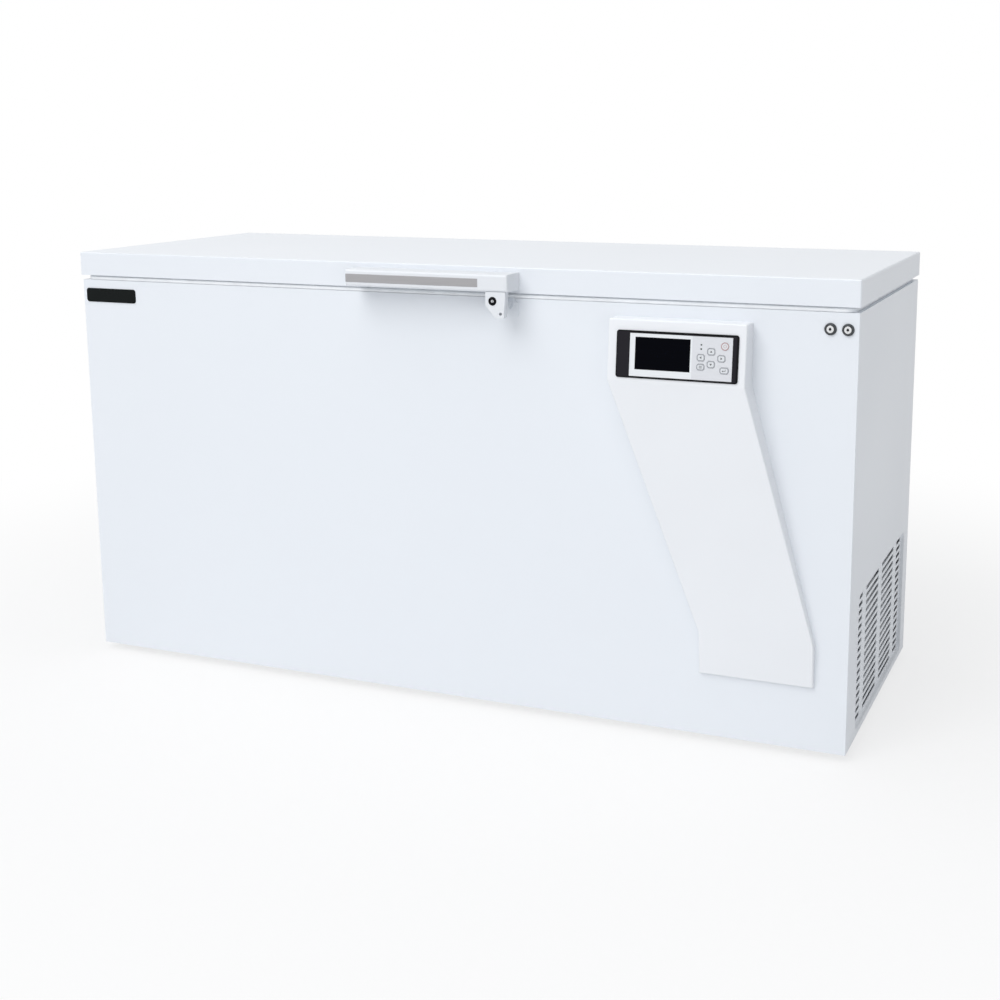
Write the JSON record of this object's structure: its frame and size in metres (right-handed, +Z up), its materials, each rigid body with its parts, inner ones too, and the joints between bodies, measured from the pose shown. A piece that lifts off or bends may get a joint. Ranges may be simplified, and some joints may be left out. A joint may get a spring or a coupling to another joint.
{
  "type": "chest ultra low temperature freezer",
  "caption": "Long white chest freezer with a hinged insulated lid, front handle with lock, slanted control console, key switches and a side air grille.",
  "frame": {"origin": "on the floor, under the middle of the whole outline (bottom centre of the bounding box)", "axes": "+X to the right seen from the front, along the cabinet's length; +Y from the front to the back; +Z up"},
  "size_m": [1.684, 0.7052, 0.896],
  "materials": {
    "painted_steel": "smooth white powder coat",
    "galvanised_steel": "dull zinc",
    "liner_metal": "satin, fine grain",
    "foam": "matt foam",
    "collar_plastic": "satin",
    "rubber_black": "matt",
    "gasket_white": "matt, soft",
    "copper": "bright copper",
    "black_enamel": "semi-gloss black",
    "black_plastic": "matt black",
    "fin_metal": "bare",
    "lagging": "matt foam rubber lagging",
    "steel_bright": "satin",
    "console_plastic": "fine satin",
    "frame_plastic": "satin",
    "plate_plastic": "satin",
    "lcd_dark": "glossy",
    "lamp": "glossy",
    "board": "satin",
    "chromed": "polished",
    "handle_plastic": "satin"
  },
  "bodies": {
    "cabinet": {"front_panel": "painted_steel", "left_side_panel": "painted_steel", "right_side_panel": "painted_steel", "rear_panel": "painted_steel", "rear_cover": "painted_steel", "base_pan": "galvanised_steel", "levelling_feet": "rubber_black", "top_collar": "collar_plastic", "inner_liner": "liner_metal", "insulation": "foam", "evaporator_coil": "copper", "temperature_probe": "steel_bright", "machine_bulkhead": "galvanised_steel", "high_stage_compressor": "black_enamel", "low_stage_compressor": "black_enamel", "compressor_mounts": "rubber_black", "terminal_covers": "black_plastic", "condenser_core": "fin_metal", "condenser_bends": "copper", "fan_hood": "galvanised_steel", "fan_motor": "black_plastic", "cascade_heat_exchanger": "lagging", "filter_drier": "copper", "refrigerant_lines": "copper", "console_housing": "console_plastic", "display_frame": "frame_plastic", "face_plate": "plate_plastic", "lcd_panel": "lcd_dark", "status_lamps": "lamp", "display_board": "board", "badge_plate": "black_plastic", "key_switch_bodies": "chromed", "lock_strike": "galvanised_steel", "hinge_body_leaves": "steel_bright", "hinge_pins": "steel_bright", "panel_screws": "steel_bright", "power_inlet": "black_plastic"},
    "lid": {"lid_skin": "painted_steel", "lid_foam": "foam", "lid_liner": "liner_metal", "lid_gasket": "gasket_white", "hinge_lid_leaves": "steel_bright", "lid_screws": "steel_bright", "handle_body": "handle_plastic", "handle_strip": "steel_bright", "lock_housing": "handle_plastic", "lock_bezel": "black_plastic"},
    "lid_lock": {"lock_barrel": "chromed", "lock_cam": "steel_bright"},
    "left_switch": {"left_key_core": "chromed"},
    "right_switch": {"right_key_core": "chromed"},
    "fan": {"fan_blade": "black_plastic"},
    "up_key": {"key_up": "plate_plastic"},
    "down_key": {"key_down": "plate_plastic"},
    "left_key": {"key_left": "plate_plastic"},
    "right_key": {"key_right": "plate_plastic"},
    "menu_key": {"key_menu": "plate_plastic"},
    "enter_key": {"key_enter": "plate_plastic"},
    "power_key": {"key_power": "plate_plastic"}
  },
  "joints": [
    {"name": "lid_hinge", "type": "hinge", "parent": "cabinet", "child": "lid", "pos_m": [0, 0.3456, 0.842], "axis": [-1, 0, 0], "range_deg": [0, 90]},
    {"name": "lid_lock_turn", "type": "hinge", "parent": "lid", "child": "lid_lock", "pos_m": [0.1617, -0.3514, 0.8368], "axis": [0, 1, 0], "range_deg": [0, 90]},
    {"name": "left_switch_turn", "type": "hinge", "parent": "cabinet", "child": "left_switch", "pos_m": [0.7887, -0.2914, 0.807], "axis": [0, 1, 0], "range_deg": [0, 90]},
    {"name": "right_switch_turn", "type": "hinge", "parent": "cabinet", "child": "right_switch", "pos_m": [0.82, -0.2914, 0.807], "axis": [0, 1, 0], "range_deg": [0, 90]},
    {"name": "fan_spin", "type": "hinge", "parent": "cabinet", "child": "fan", "pos_m": [0.7465, 0.0236, 0.1545], "axis": [1, 0, 0], "continuous": true},
    {"name": "up_key_press", "type": "slide", "parent": "cabinet", "child": "up_key", "axis": [0, 0.9953, -0.0969], "range_m": [0, 0.0008], "stiffness_N_per_m": 400, "springref_m": -0.0005},
    {"name": "down_key_press", "type": "slide", "parent": "cabinet", "child": "down_key", "axis": [0, 0.9953, -0.0969], "range_m": [0, 0.0008], "stiffness_N_per_m": 400, "springref_m": -0.0005},
    {"name": "left_key_press", "type": "slide", "parent": "cabinet", "child": "left_key", "axis": [0, 0.9953, -0.0969], "range_m": [0, 0.0008], "stiffness_N_per_m": 400, "springref_m": -0.0005},
    {"name": "right_key_press", "type": "slide", "parent": "cabinet", "child": "right_key", "axis": [0, 0.9953, -0.0969], "range_m": [0, 0.0008], "stiffness_N_per_m": 400, "springref_m": -0.0005},
    {"name": "menu_key_press", "type": "slide", "parent": "cabinet", "child": "menu_key", "axis": [0, 0.9953, -0.0969], "range_m": [0, 0.0008], "stiffness_N_per_m": 400, "springref_m": -0.0005},
    {"name": "enter_key_press", "type": "slide", "parent": "cabinet", "child": "enter_key", "axis": [0, 0.9953, -0.0969], "range_m": [0, 0.0008], "stiffness_N_per_m": 400, "springref_m": -0.0005},
    {"name": "power_key_press", "type": "slide", "parent": "cabinet", "child": "power_key", "axis": [0, 0.9953, -0.0969], "range_m": [0, 0.0008], "stiffness_N_per_m": 400, "springref_m": -0.0005}
  ]
}
